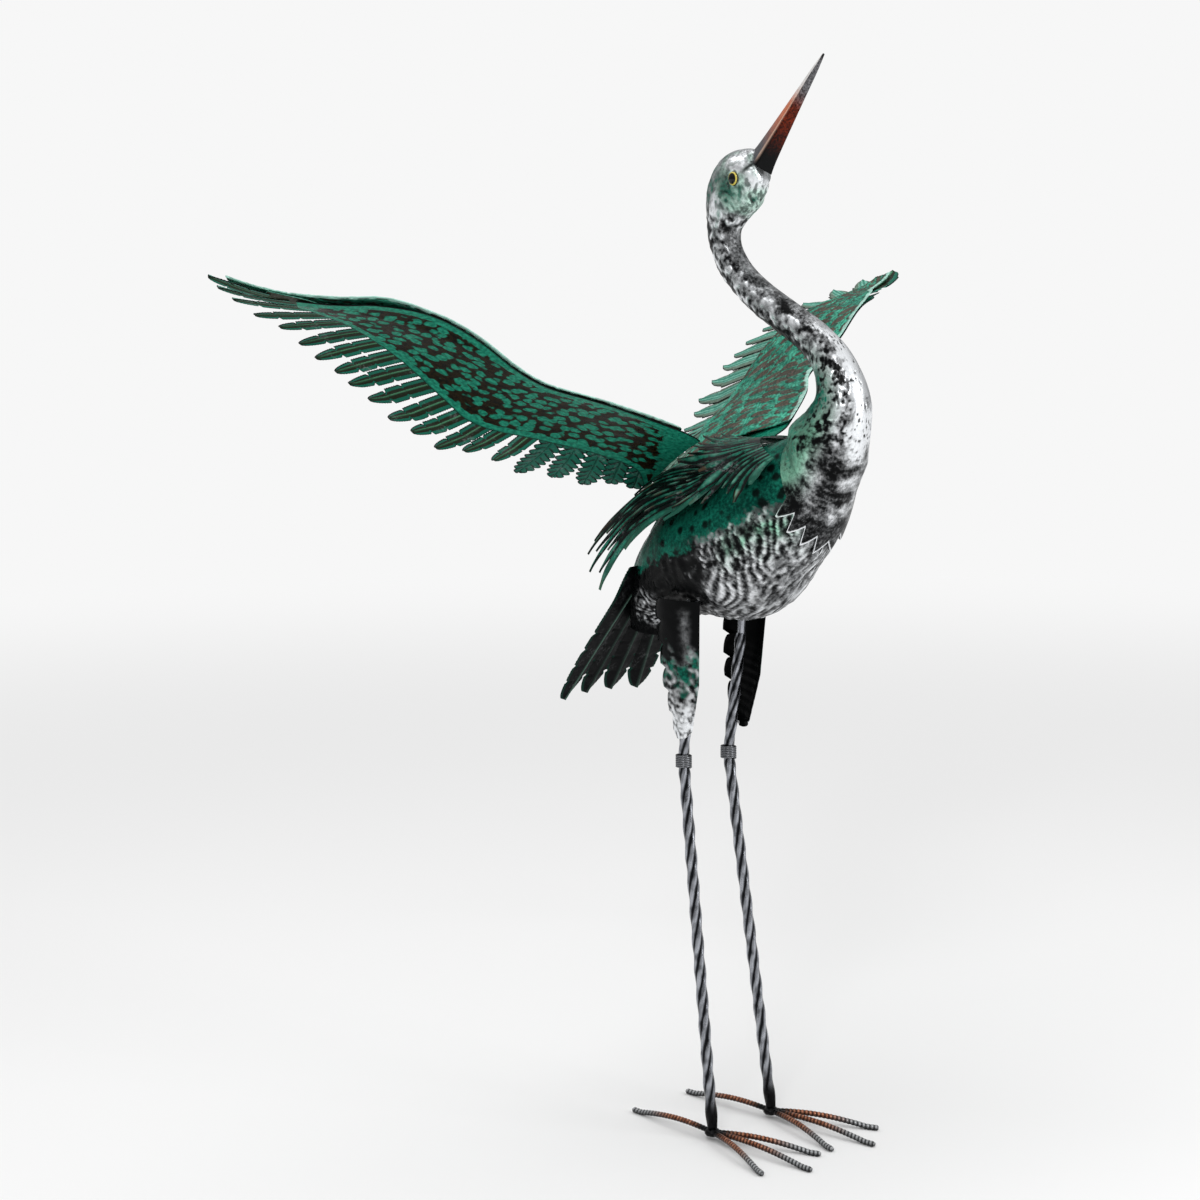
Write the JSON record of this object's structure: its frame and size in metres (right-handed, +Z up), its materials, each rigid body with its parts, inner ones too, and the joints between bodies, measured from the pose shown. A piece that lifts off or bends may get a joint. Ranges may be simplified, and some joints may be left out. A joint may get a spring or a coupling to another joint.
{
  "type": "metal crane figurine",
  "caption": "Standing metal crane with raised wings, a twisting neck and a lifted beak, in hammered silver and green patina on twisted bar legs.",
  "frame": {"origin": "on the ground under the centre of the figure's box, between the two feet", "axes": "+X towards the beak, +Y to the bird's left, +Z up"},
  "size_m": [0.4334, 0.9656, 1.0697],
  "materials": {
    "hammered_steel": "satin",
    "green_patina": "satin",
    "dark_patina": "satin",
    "beak_paint": "satin",
    "eye_enamel": "gloss",
    "twisted_bar": "satin",
    "wrap_wire": "satin",
    "toe_rod": "satin"
  },
  "bodies": {
    "root": {"body": "hammered_steel", "neck_and_head": "hammered_steel", "beak": "beak_paint", "ruff": "green_patina", "tail": "dark_patina", "mantle_1": "green_patina", "mantle_2": "green_patina", "mantle_3": "green_patina", "mantle_4": "green_patina", "right_eye": "eye_enamel", "right_wing_lining": "green_patina", "right_flight_feathers": "dark_patina", "right_coverts": "green_patina", "right_thigh": "dark_patina", "right_upper_leg": "twisted_bar", "right_knee_wrap": "wrap_wire", "right_lower_leg": "twisted_bar", "right_foot": "toe_rod", "left_eye": "eye_enamel", "left_wing_lining": "green_patina", "left_flight_feathers": "dark_patina", "left_coverts": "green_patina", "left_thigh": "dark_patina", "left_upper_leg": "twisted_bar", "left_knee_wrap": "wrap_wire", "left_lower_leg": "twisted_bar", "left_foot": "toe_rod"}
  },
  "joints": []
}
